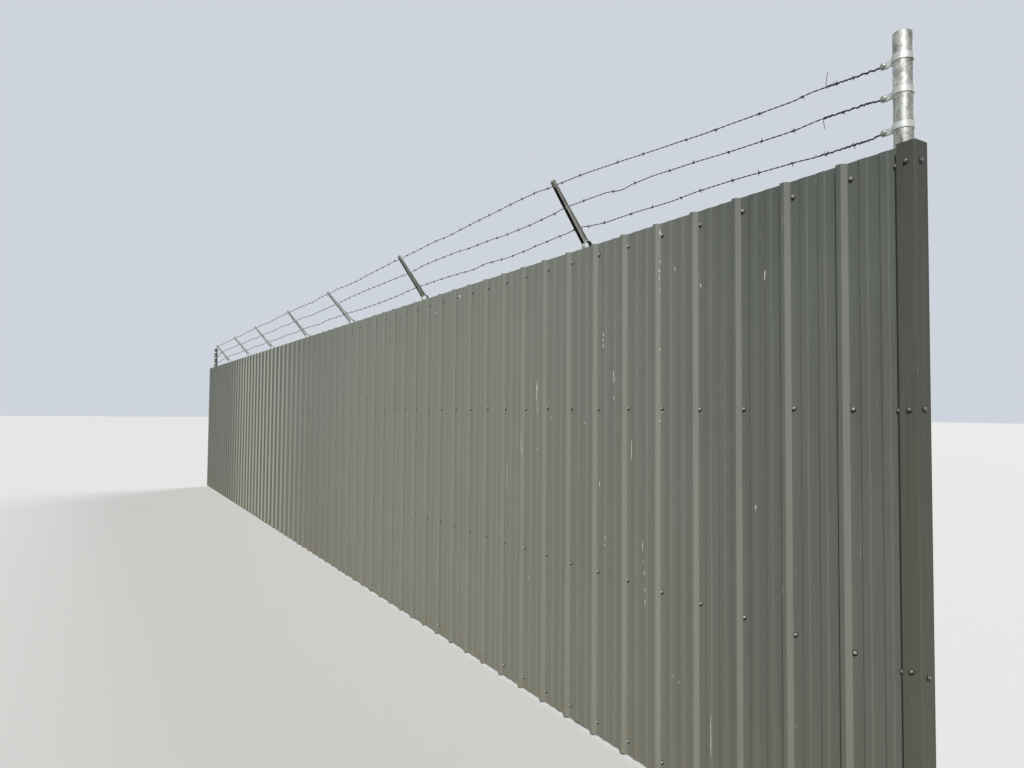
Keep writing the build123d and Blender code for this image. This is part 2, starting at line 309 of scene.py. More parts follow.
def weathered_wire():
    m = Nodes("weathered_wire")
    patches = m.noise(45, 4, 0.7)
    m.colour = m.ramp(patches, (0.3, srgb(34, 35, 36)), (0.5, srgb(58, 60, 61)), (0.72, srgb(108, 110, 110)))
    rust = m.noise(14, 5, 0.7, offset=(4, 0, 0))
    m.over(srgb(92, 66, 50), rust, (0.58, 0), (0.72, 0.55))
    rough = m.ramp(m.noise(120, 3, 0.55), (0.3, 0.42), (0.7, 0.66))
    m.bump((m.noise(1500, 2, 0.55), 0.2, 0.0002))
    return m.finish(rough, 0.45)


def timber():
    m = Nodes("weathered_timber")
    grain = m.noise(1, 6, 0.62, (2.2, 70, 70), distortion=1.1)
    m.colour = m.ramp(grain, (0.28, srgb(92, 74, 54)), (0.5, srgb(138, 116, 88)), (0.72, srgb(172, 152, 120)))
    grey = m.noise(2, 4, 0.6, (0.8, 3, 3))
    m.over(srgb(132, 126, 116), grey, (0.42, 0), (0.66, 0.6))
    knots = m.cells(1, (1.3, 14, 11), (0.4, 0.2, 0.9))["Distance"]
    m.over(srgb(70, 50, 34), knots, (0.05, 0.85), (0.13, 0))
    tone = m.add("RGBToBW", {0: m.cells(1, (0.35, 3, 1.3))["Color"]}).outputs[0]
    m.lay(tone, 0.3, "OVERLAY")
    splits = m.ramp(m.noise(1, 3, 0.5, (3, 160, 160), (0, 0, 2)), (0.66, 0), (0.7, 0.8))
    m.lay(srgb(48, 38, 28), splits)
    m.bump((grain, 0.45, 0.0012), (splits, 0.6, -0.001))
    return m.finish(0.86, gloss=0.25)


def plain_metal(name, colour, rough, metal, scale=300):
    m = Nodes(name)
    colour = srgb(*colour)
    tone = m.noise(scale, 4, 0.6)
    wear = m.ramp(tone, (0.3, rough * 0.8), (0.7, rough * 1.25))
    m.bump((m.noise(700, 2, 0.55), 0.15, 0.0003))
    m.colour = m.ramp(tone, (0.3, shade(colour, 0.72)), (0.7, colour))
    return m.finish(wear, metal)


def dropping_paint():
    m = Nodes("dried_white")
    tone = m.noise(130, 5, 0.7)
    m.colour = m.ramp(tone, (0.3, srgb(176, 176, 166)), (0.5, srgb(214, 214, 206)), (0.75, srgb(232, 232, 226)))
    m.bump((tone, 0.5, 0.0006))
    return m.finish(0.85, gloss=0.2)


PAINT = painted_sheet("painted_sheet", (102, 106, 102), light_and_shade=0.24)
BACKER = painted_sheet("sheet_back", (146, 148, 142), 1.3)
TRIM_PAINT = painted_sheet("painted_trim", (82, 84, 79), 0.8)
PIPE = galvanised("pipe", (214, 215, 208), (136, 138, 133), 110, 1.9, (0.44, 0.54), 0.84, 0,
                  stains=[z - 0.011 for z in BAND_LEVELS])
# painted shade: a darker copy of the pipe for the far post
PIPE_SHADED = galvanised("pipe_shaded", (104, 105, 101), (62, 63, 60), 110, 1.2, (0.5, 0.66), 0.1, 4)
# the two nearest arms take a darker copy of the pressing as painted shade, the others a paler one as painted light
PRESSED = galvanised("pressing", (166, 168, 158), (134, 136, 128), 150, 0.12, (0.42, 0.56), 0.15, 2.4, 0.25)
PRESSED_LIT = galvanised("pressing_lit", (214, 217, 214), (176, 179, 176), 150, 0.12, (0.42, 0.56), 0.15, 2.4, 0.25)
# painted shade on the inside of an arm's loop
RING_SHADED = galvanised("ring", (112, 114, 107), (82, 84, 78), 150, 0.3, (0.46, 0.6), 0.15, 5.2, 0.25)
BAND = galvanised("band", (222, 224, 220), (184, 186, 182), 150, 0.35, (0.46, 0.56), 0.64, 6.3)
# painted shade on the insides of the arms' channels and of the posts
INSIDE_SHADED = galvanised("inside", (74, 75, 74), (48, 49, 48), 150, 0.35, (0.6, 0.8), 0.2, 3.4)
STRAP_METAL = galvanised("strap", (168, 170, 166), (122, 124, 121), 130, 0.5, (0.38, 0.58), 0.62, 5.2)
BOLT = galvanised("bolt", (176, 178, 172), (120, 122, 117), 240, 0.6, (0.28, 0.44), 0.35, 8.1)
# bare cut edges, and painted shade in the grooves along the arms
CUT_EDGE_AND_SHADE = plain_metal("cut_edge_and_shade", (104, 98, 90), 0.6, 0.5, 120)
SCREW = plain_metal("zinc_screw", (184, 186, 178), 0.4, 0.3)
DULL_SCREW = plain_metal("dull_screw", (138, 140, 132), 0.42, 0.3)
WASHER = plain_metal("rubber_washer", (22, 22, 22), 0.75, 0)
WIRE = weathered_wire()
WOOD = timber()
WHITE = dropping_paint()


# ---- meshes

def circle(radius, count):
    """Places round a circle, as (x, y)."""
    return [(radius * cos(a), radius * sin(a)) for a in (2 * pi * k / count for k in range(count))]


def placed(name, data):
    """A new object in the scene."""
    thing = bpy.data.objects.new(name, data)
    bpy.context.scene.collection.objects.link(thing)
    return thing


class Build:
    """Collects closed shells, then makes one piece of them. A mark is the number of a face's material."""

    def __init__(self):
        self.verts, self.faces, self.marks = [], [], []

    def add(self, verts, faces, marks):
        start = len(self.verts)
        self.verts += verts
        self.faces += [[start + i for i in face] for face in faces]
        self.marks += marks

    def cells(self, outer, inner, present=None, inner_mark=0, marked=None, rim_mark=0):
        """A shell between two grids of points, of the cells that are present, closed along every edge."""
        rows = len(outer) - 1
        columns = len(outer[0]) - 1
        verts = [p for grid in (outer, inner) for row in grid for p in row]
        shift = len(verts) // 2

        def there(j, i):
            return 0 <= j < rows and 0 <= i < columns and (present is None or present[j][i])

        faces, marks = [], []
        for j in range(rows):
            for i in filter(lambda i: there(j, i), range(columns)):
                a = j * (columns + 1) + i
                b = a + 1
                c = b + columns + 1
                d = c - 1
                faces += [[a, b, c, d], [a + shift, d + shift, c + shift, b + shift]]
                marks += [(marked or {}).get(i, 0), inner_mark]
                for y, x, p, q in ((j - 1, i, b, a), (j, i + 1, c, b), (j + 1, i, d, c), (j, i - 1, a, d)):
                    if not there(y, x):
                        faces.append([p, q, q + shift, p + shift])
                        marks.append(rim_mark if y == j else 0)
        used = sorted({i for face in faces for i in face})
        place = {old: new for new, old in enumerate(used)}
        self.add([verts[i] for i in used], [[place[i] for i in face] for face in faces], marks)

    def loft(self, rings, mark=0):
        """A skin over a row of rings, each of as many points, with both ends closed."""
        n = len(rings[0])
        last = n * (len(rings) - 1)
        faces = [[start + k, start + (k + 1) % n, start + n + (k + 1) % n, start + n + k]
                 for start in range(0, last, n) for k in range(n)]
        faces += [list(range(n))[::-1], list(range(last, last + n))]
        self.add([p for ring in rings for p in ring], faces, [mark] * len(faces))

    def turned(self, profile, frame, segments, mark=0, marked=None):
        """A closed profile of (radius, height) turned about the frame's Z axis; radius 0 makes a pole."""
        verts, rings = [], []
        for r, h in profile:
            spots = circle(r, segments) if r else [(0, 0)]
            rings.append(range(len(verts), len(verts) + len(spots)))
            verts += [frame @ Vector((x, y, h)) for x, y in spots]
        faces, marks = [], []
        for n, one in enumerate(rings):
            two = rings[(n + 1) % len(rings)]
            if len(one) + len(two) == 2:
                continue
            for k in range(segments):
                l = (k + 1) % segments
                corners = (one[k % len(one)], one[l % len(one)], two[l % len(two)], two[k % len(two)])
                faces.append(list(dict.fromkeys(corners)))
                marks.append((marked or {}).get(n, mark))
        self.add(verts, faces, marks)

    def hexagon(self, frame, across, height, chamfer, mark=0, dish=0):
        """A hexagon head or nut with its top edge eased; it stands on the frame's XY plane."""
        r = across / sqrt(3)
        levels = [(r, 0), (r, height - chamfer), (r - 1.2 * chamfer, height)]
        if dish:
            levels += [(0.6 * r, height), (0.5 * r, height - dish)]
        self.loft([[frame @ Vector((x, y, h)) for x, y in circle(radius, 6)] for radius, h in levels], mark)

    def tube(self, points, radius, sides=6, taper=None):
        """A round wire along points, with closed ends."""
        rings = []
        normal = None
        for n, point in enumerate(points):
            along = (points[min(n + 1, len(points) - 1)] - points[max(n - 1, 0)]).normalized()
            if normal is None:
                normal = UP if abs(along.z) < 0.9 else Vector((0, 1, 0))
            normal = (normal - along * normal.dot(along)).normalized()
            side = along.cross(normal)
            r = radius * taper[n] if taper else radius
            rings.append([point + normal * x + side * y for x, y in circle(r, sides)])
        self.loft(rings)

    def piece(self, name, materials, slot, smooth, *replaces):
        """One object of all that was collected, with edges sharper than smooth, in degrees, left sharp."""
        mesh = bpy.data.meshes.new(name)
        mesh.from_pydata([tuple(v) for v in self.verts], [], self.faces)
        for material in materials:
            mesh.materials.append(material)
        mesh.polygons.foreach_set("material_index", self.marks)
        mesh.update()
        bm = bmesh.new()
        bm.from_mesh(mesh)
        bmesh.ops.recalc_face_normals(bm, faces=bm.faces)
        bm.to_mesh(mesh)
        bm.free()
        mesh.shade_smooth()
        mesh.set_sharp_from_angle(angle=radians(smooth))
        piece = placed(name, mesh)
        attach(piece, "root")
        if replaces:
            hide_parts(*replaces)


def stood(x, y, z, angle=0, axis="X"):
    """A frame at a place, turned about one axis."""
    return Matrix.Translation((x, y, z)) @ Matrix.Rotation(angle, 4, axis)


def rounded(points, radius, steps=3):
    """A polyline with its corners rounded, each as far as its neighbours allow."""
    result = [Vector(points[0])]
    for n in range(1, len(points) - 1):
        a, b, c = (Vector(p) for p in points[n - 1:n + 2])
        into = (a - b).normalized()
        out = (c - b).normalized()
        turn = pi - into.angle(out)
        if turn < 1e-4:
            result.append(b)
            continue
        reach = min(radius * tan(turn / 2), 0.45 * (a - b).length, 0.45 * (c - b).length)
        r = reach / tan(turn / 2)
        centre = b + (into + out).normalized() * (r / cos(turn / 2))
        spoke = b + into * reach - centre
        way = 1 if (-into).cross(out) > 0 else -1
        result += [centre + Matrix.Rotation(way * turn * k / steps, 2) @ spoke for k in range(steps + 1)]
    return result + [Vector(points[-1])]


def skins(path, thickness):
    """The points on each side of a middle line, half the thickness away."""
    left, right = [], []
    for n, point in enumerate(path):
        ways = [(b - a).normalized() for a, b in zip(path[max(n - 1, 0):n + 1], path[max(n, 1):n + 2])]
        mean = sum(ways, Vector((0, 0))).normalized()
        normal = Vector((-mean.y, mean.x))
        stretch = 1 / max(0.5, mean.dot(ways[0]))
        left.append(point + normal * (thickness / 2 * stretch))
        right.append(point - normal * (thickness / 2 * stretch))
    return left, right


def mirrored(points):
    """Points, then the same on the other side, the last first."""
    return [*points] + [(-x, y) for x, y in reversed(points)]


def strip(build, outside, inside, steel, middle, rows, clip=lambda x, h: x):
    """A strip on edge between two outlines in plan; rows are heights, and how far the outside is eased there."""
    grids = ([], [])
    for h, ease in rows:
        eased = [p + (q - p) * (ease / steel) for p, q in zip(outside, inside)]
        for grid, points in zip(grids, (eased, inside)):
            grid.append([middle + Vector((clip(p.x, h), p.y, h)) for p in points])
    build.cells(*grids)


def upright(path, levels):
    """Sheet steel that stands on end, from its middle line in plan; its right side has mark 1."""
    build = Build()
    left, right = ([[Vector((p.x, p.y, z)) for p in side] for z in levels] for side in skins(path, SHEET_STEEL))
    build.cells(left, right, inner_mark=1)
    return build


# ---- ribbed sheets

RIB_SLOPE = atan2(RIB_HEIGHT, (RIB_BASE - RIB_CREST) / 2)
NEST = SHEET_STEEL + SEAT
FLAT = (RIB_PITCH - RIB_BASE - 2 * MINOR_BASE) / 3  # between the ribs of a pan
FREE_EDGE = 0.005


def rib(centre, inset=0):
    foot = RIB_BASE / 2 - inset / sin(RIB_SLOPE)
    crest = RIB_CREST / 2 - inset * tan(RIB_SLOPE / 2)
    top = RIB_HEIGHT - inset
    return [(centre - foot, 0), (centre - crest, top), (centre + crest, top), (centre + foot, 0)]


def minor_ribs(near_rib):
    points = []
    for i in range(2):
        centre = near_rib + RIB_BASE / 2 + FLAT * (i + 1) + MINOR_BASE * (i + 0.5)
        points += [(centre - MINOR_BASE / 2, 0), (centre - MINOR_CREST / 2, MINOR_HEIGHT),
                   (centre + MINOR_CREST / 2, MINOR_HEIGHT), (centre + MINOR_BASE / 2, 0)]
    return points


def sheet(name, first_rib, pitches, lapped):
    """A sheet with rounded bends, whose front skin follows the CAD's; a lapped one nests in the sheet before."""
    points = rib(first_rib, NEST if lapped else 0)
    if lapped:
        drop = SHEET_STEEL * (1 - cos(RIB_SLOPE))
        points[0] = (points[0][0] - drop / tan(RIB_SLOPE), -drop)
    else:
        points.insert(0, (points[0][0] - FREE_EDGE, 0))
    for i in range(pitches):
        points += minor_ribs(first_rib + RIB_PITCH * i)
        points += rib(first_rib + RIB_PITCH * (i + 1))
    lift = SEAT + SHEET_STEEL * cos(RIB_SLOPE)
    points[-1] = (points[-1][0] - lift / tan(RIB_SLOPE), lift)
    middle = skins([Vector((-u, PAN - h)) for u, h in points], SHEET_STEEL)[1]
    build = upright(rounded(middle, 0.0022), (SHEET_BOTTOM, 0.9, 1.8, SHEET_TOP))
    build.piece(name + "_shape", [PAINT, BACKER], "painted_sheet", 30, name)


first_rib = FIRST_RIB
for i, pitches in enumerate(SHEET_PITCHES, start=1):
    sheet(f"sheet_{i:02d}", first_rib, pitches, i > 1)
    first_rib += RIB_PITCH * pitches

# The corner trim: a strip on the front and a return round the near end
corner = -NEAR_END + SHEET_STEEL / 2
front_y = CREST - SHEET_STEEL / 2
path = rounded([(corner - 0.0584, front_y), (corner, front_y), (corner, front_y + 0.0694)], 0.0035, 6)
build = upright(path, (0.017, 0.9, 1.7, 2.455))
build.piece("corner_trim_shape", [BACKER, TRIM_PAINT], "painted_sheet", 30, "corner_trim")

# ---- posts


def post(name, u, top, pipe=PIPE):
    """A pipe with an open end whose rim is slightly eased."""
    inner = POST_R - POST_WALL
    e = 0.0007
    profile = [(POST_R, 0), (POST_R, 0.9), (POST_R, 1.8), (POST_R, top - e), (POST_R - e, top), (inner + e, top),
               (inner, top - e), (inner, 1.8), (inner, 0.9), (inner, 0)]
    build = Build()
    # the bore takes the dark inside zinc as painted shade
    build.turned(profile, stood(-u, 0, 0), 64, marked={3: 1, 4: 1, 5: 1, 6: 2, 7: 2, 8: 2})
    build.piece(name + "_shape", [pipe, CUT_EDGE_AND_SHADE, INSIDE_SHADED], STEEL, 35, name)


post("near_post", POSTS[0], END_POST_TOP)
for i, u in enumerate(POSTS[1:-1], start=1):
    post(f"line_post_{i}", u, LINE_POST_TOP)
# the far post takes the darker pipe as painted shade
post("far_post", POSTS[-1], END_POST_TOP, PIPE_SHADED)

# ---- barb arms


def arm_channel():
    """The slotted channel in the arm's own frame: X across, Y to the web, Z along, with its tip curled over."""
    steel = 0.0026
    half = 0.013  # of the channel's width
    depth = 0.036  # at the foot
    taper = 0.016
    foot = 0.0252  # from the loop's middle
    curl = 0.01  # the tip's radius
    straight = ARM_LENGTH - curl
    floor = STRAND_LINE - 0.0028
    slot = 0.0035  # half of a slot's width
    slots = [FIRST_STRAND + STRAND_PITCH * i for i in range(3)]
    stations = [0, 0.03, 0.06] + [z + step for z in slots for step in (-slot, slot, 0.03, 0.08)]
    stations = sorted(s for s in stations if s < straight - 0.006) + [straight]
    build = Build()

    def section(z):
        bottom = ARM_WEB - depth + taper * max(0, (z - LOOP_R) / (straight - LOOP_R))
        right = [(half - 0.0006, bottom), (half, bottom + 0.0015), (half, floor), (half, 0.0084),
                 (half - 0.0013, 0.0092), (half - 0.0013, 0.0116), (half - 0.0003, 0.0124), (half - 0.0006, 0.015)]
        right += [(0.007 + 0.0054 * cos(a), 0.0146 + 0.0054 * sin(a))
                  for a in (radians(d) for d in (20, 42, 64, 86))]
        right += [(0.0035, ARM_WEB), (0.0025, ARM_WEB - 0.0007)]
        return [Vector(p) for p in mirrored(right)]

    outer, inner = [], []
    for z in stations:
        ring = section(z)
        tight = [Vector((max(steel - half, min(half - steel, p.x)), min(p.y, ARM_WEB - steel)))
                 for p in skins(ring, 2 * steel)[0]]
        tight[0].y = ring[0].y
        tight[-1].y = ring[-1].y
        # the foot is cut to the curve of the loop
        for grid, row in ((outer, ring), (inner, tight)):
            grid.append([Vector((p.x, p.y, z or sqrt(max(0, foot ** 2 - p.y * p.y)))) for p in row])
    levels = [p.y for p in section(0.1)]
    present = []
    for low, high in zip(stations, stations[1:]):
        cut = any(abs((low + high) / 2 - z) < slot for z in slots)
        present.append([not cut or max(pair) <= floor + 1e-6 for pair in zip(levels, levels[1:])])
    # painted shade: the inside and its rims take the dark inside zinc, and the groove along each side the cut-edge
    # steel
    build.cells(outer, inner, present, 1, {4: 3, len(levels) - 6: 3}, 1)

    # The tip, curled over in a half round, and a plate in each end of the curl
    centre = ARM_WEB - curl
    edges = mirrored(((-half, 0.001), (-0.0122, 0), (-0.004, 0)))
    grids = []
    for radius, eased in ((curl, 1), (curl - steel, 0)):
        grid = []
        for a in (pi * k / 10 for k in range(11)):
            spots = [(x, radius - ease * eased) for x, ease in edges]
            grid.append([Vector((x, centre + q * cos(a), straight + q * sin(a))) for x, q in spots])
        grid += [[Vector((0.79 * p.x, centre - radius, straight - back)) for p in grid[-1]]
                 for back in (0.002, 0.009, 0.017)]
        grids.append(grid)
    build.cells(*grids)
    q = curl - 0.0004
    rim = [(centre + q * cos(a), straight + q * sin(a)) for a in (pi * k / 12 for k in range(13))]
    rim += [(centre - q, straight - 0.004), (centre + q, straight - 0.004)]
    for side in (-1, 1):
        build.loft([[Vector((side * x, y, z)) for y, z in rim] for x in (0.0098, 0.012)])
    return build


def barb_arm(name, u, angle):
    build = Build()
    r = POST_R + SEAT
    z = LINE_POST_TOP
    cup = [(0, z + 0.003), (0.0265, z + 0.003), (0.03, z + 0.0026), (0.0322, z + 0.0012), (r + 0.003, z - 0.0012),
           (r + 0.003, z - 0.0285), (r + 0.0024, z - 0.03), (r, z - 0.03), (r, z - 0.0015), (r - 0.0015, z), (0, z)]
    build.turned(cup, stood(-u, 0, 0), 48, 2)
    # the loop's outside takes the bright band zinc as painted highlight, its inside the darker ring as painted shade
    half = [(LOOP_R - 0.0003, -0.015), (LOOP_R, -0.0142), (LOOP_R, 0.0142), (LOOP_R - 0.0003, 0.015)]
    loop = half + [(2 * LOOP_R - 0.003 - q, h) for q, h in reversed(half)]
    build.turned(loop, stood(-u, 0, LOOP_Z, pi / 2, "Y"), 48, 2, {4: 4, 5: 4, 6: 4})
    slope = radians(angle)
    along = Vector((0, -cos(slope), sin(slope)))
    across = Vector((1, 0, 0))
    turn = Matrix((across, along.cross(across), along)).transposed().to_4x4()
    place = stood(-u, 0, LOOP_Z) @ turn
    build.add([place @ v for v in CHANNEL.verts], CHANNEL.faces, CHANNEL.marks)
    # painted shade on the two nearest arms and painted light on the others, by the copy they take
    pressed = PRESSED if u < POSTS[3] else PRESSED_LIT
    build.piece(name + "_shape", [pressed, INSIDE_SHADED, BAND, CUT_EDGE_AND_SHADE, RING_SHADED], STEEL, 38, name)


CHANNEL = arm_channel()
for i, angle in enumerate(ARM_ANGLES, start=1):
    barb_arm(f"barb_arm_{i}", POSTS[i], angle)

# ---- bands and their bolts


def band(build, u, level, towards):
    """A strip round the post, with two ears whose corners are rounded."""
    steel = 0.0025
    corner = 0.005
    r = POST_R + SEAT + steel / 2
    ear_y = 0.0015 + steel / 2
    meet = sqrt(r * r - ear_y * ear_y)
    start = atan2(ear_y, meet) + 0.09
    ear = [EAR_END, 0.072, 0.062, 0.048, meet + 0.0035]
    path = [Vector((towards * x, -ear_y)) for x in ear]
    path += [Vector((towards * r * cos(a), -r * sin(a)))
             for a in (start + (2 * pi - 2 * start) * k / 44 for k in range(45))]
    path += [Vector((towards * x, ear_y)) for x in reversed(ear)]
    inside, outside = sorted(skins(path, steel), key=lambda side: side[25].length)

    def clip(x, h):
        over = max(0, abs(h) - 0.006)
        return towards * min(x * towards, EAR_END - corner + sqrt(corner ** 2 - over ** 2))

    rows = mirrored(((-0.011, 0.0007), (-0.0102, 0), (-0.0085, 0), (-0.006, 0)))
    strip(build, outside, inside, steel, Vector((-u, 0, level)), rows, clip)


def carriage_bolt(build, x, level):
    """A domed bolt from the front through both ears, with a washer and a nut behind."""
    dome = [(0, 0.0074), (0.0026, 0.0072), (0.0052, 0.0065), (0.0076, 0.0052), (0.0096, 0.0034), (0.0109, 0.0014),
            (0.0112, 0.0004), (0.0108, 0), (0, 0)]
    build.turned(dome, stood(x, -0.004, level, pi / 2), 28)
    back = stood(x, 0.004, level, -pi / 2)
    build.turned([(0, 0.0015), (0.01, 0.0015), (0.0106, 0.0009), (0.0106, 0), (0, 0)], back, 24)
    build.hexagon(back @ stood(0, 0, 0.0015, 0.4, "Z"), 0.0143, 0.0082, 0.0009)
    shank = [(0, 0.0175), (0.0036, 0.0175), (0.0046, 0.0165), (0.0046, -0.0078), (0, -0.0078)]
    build.turned(shank, back, 20)


for name, u, towards in (("near_bands", POSTS[0], -1), ("far_bands", POSTS[-1], 1)):
    build = Build()
    bolts = Build()
    for level in BAND_LEVELS:
        band(build, u, level, towards)
        carriage_bolt(bolts, -u + towards * BOLT_OUT, level)
    build.piece(name + "_shape", [BAND], STEEL, 38, name)
    bolts.piece(name + "_bolts", [BOLT], STEEL, 32)

# ---- girts and straps

STRAP_STEEL = 0.003
BUTT = 0.0005  # half of the gap between two boards


def board(build, start, end, level):
    """A rough board with eased edges, a little uneven along its length."""
    y0 = GIRT_BACK - GIRT_DEPTH
    z0 = level - GIRT_HEIGHT / 2
    z1 = level + GIRT_HEIGHT / 2
    e = 0.0025
    outline = []
    for y, z, a, b in ((y0, z0, e, e), (GIRT_BACK, z0, -e, e), (GIRT_BACK, z1, -e, -e), (y0, z1, e, -e)):
        ease = [(y, z + b), (y + 0.3 * a, z + 0.3 * b), (y + a, z)]
        outline += ease if a == b else ease[::-1]
    count = max(2, int((end - start) / 0.3))
    rings = []
    for k in range(count + 1):
        u = start + (end - start) * k / count
        sag = min(0.0006 * sin(7.3 * u + level * 3), 0)
        squeeze = 1 - 0.006 * (0.5 + 0.5 * sin(5.1 * u + level * 11))
        rings.append([Vector((-u, y, level + (z - level) * squeeze + sag)) for y, z in outline])
    build.loft(rings)


def strap(build, u, level):
    """A strip bent round the back of the post, with an ear on each side against the girt."""
    r = POST_R + SEAT + STRAP_STEEL / 2
    ear_y = GIRT_BACK + STRAP_STEEL / 2
    reach = POST_R + SEAT + 0.034
    path = rounded([(-reach, ear_y), (-r, ear_y), (-r, 0)], 0.004)
    path += [Vector((-r * cos(a), r * sin(a))) for a in (pi * k / 20 for k in range(1, 20))]
    path += rounded([(r, 0), (r, ear_y), (reach, ear_y)], 0.004)
    rows = mirrored(((-0.02, 0.0006), (-0.0192, 0)))
    strip(build, *skins(path, STRAP_STEEL), STRAP_STEEL, Vector((-u, 0, level)), rows)


def wood_screw(build, x, level):
    """A hexagon lag screw with a washer on a strap's ear, its head towards the back."""
    place = stood(x, GIRT_BACK + STRAP_STEEL, level, -pi / 2)
    build.turned([(0, 0.0014), (0.0082, 0.0014), (0.0088, 0.0008), (0.0088, 0), (0, 0)], place, 20)
    build.hexagon(place @ stood(0, 0, 0.0014, RNG.uniform(0, 1), "Z"), 0.0111, 0.0048, 0.0007)


for row, level in GIRT_LEVELS.items():
    joints = POSTS[2:-1:2]
    build = Build()
    for start, end in zip([NEAR_END + SEAT] + [u + BUTT for u in joints], [u - BUTT for u in joints] + [FAR_END]):
        board(build, start, end, level)
    build.piece(f"girt_{row}_shape", [WOOD], "timber", 38, f"girt_{row}")
    straps = Build()
    lags = Build()
    for u in POSTS:
        strap(straps, u, level)
        for side in (-1, 1):
            wood_screw(lags, -u + side * (POST_R + 0.0185), level + 0.004 * side)
    straps.piece(f"girt_straps_{row}_shape", [STRAP_METAL], STEEL, 38, f"girt_straps_{row}")
    lags.piece(f"girt_straps_{row}_screws", [BOLT], STEEL, 32)

# ---- sheet screws


def near_foot(k):
    """Where the foot of rib k that faces the near end stands, along the fence."""
    return FIRST_RIB + RIB_PITCH * (k + 1) - RIB_BASE / 2


def sheet_screw(build, origin, out, tilt=0, head=0):
    """A hexagon washer-head screw on a rubber washer, standing out of the sheet along the given direction."""
    place = Matrix.Translation(origin) @ UP.rotation_difference(out).to_matrix().to_4x4()
    place = place @ Matrix.Rotation(RNG.uniform(0, 1), 4, "Z") @ Matrix.Rotation(tilt, 4, "X")
    # the black washer, set lower than the head and a little to one side, also stands in as the head's painted shadow
    washer_shadow_place = Matrix.Translation(UP.cross(out) * -0.0018 + Vector((0, 0, -0.0022))) @ place
    build.turned([(0, 0.003), (0.007, 0.003), (0.0088, 0.002), (0.0092, 0), (0, 0)], washer_shadow_place, 20, 1)
    build.turned([(0, 0.004), (0.0044, 0.0039), (0.0055, 0.0033), (0.0053, 0.0028), (0, 0.0028)], place, 20, head)
    build.hexagon(place @ Matrix.Translation((0, 0, 0.0036)), 0.0077, 0.0053, 0.0007, head, 0.0008)


# Each row's height, then the screws at the corner trim: across the front and up, into the return and up, and
# how far the one beside the trim's edge sits below the row
ROWS = ((2.392, 0.058, 0.0005, 0.0565, 0, 0), (1.617, 0.0587, -0.003, 0.0595, -0.001, 0.005),
        (0.812, 0.0545, 0.004, 0.0565, -0.01, 0.01), (0.075, 0.056, 0.002, 0.057, -0.004, 0.004))
front = Vector((0, -1, 0))
for (row, across, up, deep, rise, below), name in zip(ROWS, GIRT_LEVELS):
    build = Build()
    for k in range(sum(SHEET_PITCHES)):
        u = near_foot(k) - 0.013 + RNG.uniform(-0.0025, 0.0025)
        z = row + RNG.uniform(-0.004, 0.004)
        sheet_screw(build, Vector((-u, PAN, z)), front, RNG.uniform(-0.04, 0.04))
    sheet_screw(build, Vector((across, CREST - SHEET_STEEL, row + up)), front, head=2)
    sheet_screw(build, Vector((-NEAR_END, -deep, row + rise)), Vector((1, 0, 0)), head=2)
    sheet_screw(build, Vector((0.0155, PAN, row - below)), front)
    build.piece(f"sheet_screws_{name}", [SCREW, WASHER, DULL_SCREW], STEEL, 32)

# ---- barbed strands

WIRE_R = 0.0014
LAY = 0.052  # one turn of the two wires
BARB_PITCH = 0.127
TIE = 0.0008  # between a strand's end and the ear
HELD = 0.03  # how far a strand runs level beside an arm
WRAP_START = 0.082  # the first turn of a returned end, from the post's axis
# How far each strand strays up or down at places in centimetres along it, in millimetres, as the photograph shows
SEEN_STRAYS = (
    {12: -8, 31: -10, 42: -5, 70: 0, 86: -1, 107: -10, 125: -9, 150: -14, 162: -8, 183: -6, 210: -12, 224: -19,
     244: -23, 262: -16, 272: -10, 292: -20, 310: -12, 330: -6, 360: -3, 400: -3, 430: -12, 470: -16, 510: -14,
     540: -8},
    {12: 3, 28: 4, 41: -4, 62: -2, 90: 5, 110: 8, 122: 3, 130: -8, 142: 4, 160: 1, 185: -9, 210: -15, 232: -14,
     255: -6, 280: -2, 305: 9, 330: 12, 356: 12, 370: 4, 405: 4, 440: 6, 480: 10, 520: 9, 545: 5},
    {12: -1, 31: 1, 40: -8, 62: -9, 78: -10, 95: -6, 112: -3, 125: 1, 150: 4, 190: 11, 210: 13, 235: 10, 262: 8,
     286: 3, 300: 2, 318: 8, 342: 5, 366: 3, 392: 7, 410: 2, 445: 0, 480: -8, 510: -5, 530: 4},
)
# Further on they go up and down evenly, and at posts and ears they are held
STRAYS = []
for seen, shift in zip(SEEN_STRAYS, (0, 0.7, 1.9)):
    strays = [(u / 100, rise) for u, rise in seen.items()]
    for n in range(22):
        u = 5.85 + 0.37 * n
        if min(abs(u - p) for p in POSTS) > 0.08:
            strays.append((u, 7 * sin(2.3 * n + shift) - 4))
    strays += [(p + d, 0) for p in POSTS for d in (-HELD, HELD) if EAR_END < p + d < POSTS[-1]]
    strays += [(EAR_END, -2), (POSTS[-1] - EAR_END, -2)]
    STRAYS.append(sorted(strays))


def smooth_between(points, u):
    """A value between known ones, level at each of them."""
    if u <= points[0][0]:
        return points[0][1]
    for (a, p), (b, q) in zip(points, points[1:]):
        if u <= b:
            t = (u - a) / (b - a)
            return p + (q - p) * (t * t * (3 - 2 * t))
    return points[-1][1]


def strand_route(index):
    """Corner points of a strand's middle line, post to post, as (u, y, z)."""
    along = FIRST_STRAND + STRAND_PITCH * index
    route = [(EAR_END + TIE, 0, BAND_LEVELS[index])]
    for u, angle in zip(POSTS[1:], ARM_ANGLES):
        slope = radians(angle)
        y = STRAND_LINE * sin(slope) - along * cos(slope)
        z = LOOP_Z + along * sin(slope) + STRAND_LINE * cos(slope)
        route += [(u - HELD, y, z), (u + HELD, y, z)]
    return route + [(POSTS[-1] - EAR_END - TIE, 0, BAND_LEVELS[index])]


ROUTES = [strand_route(index) for index in range(3)]


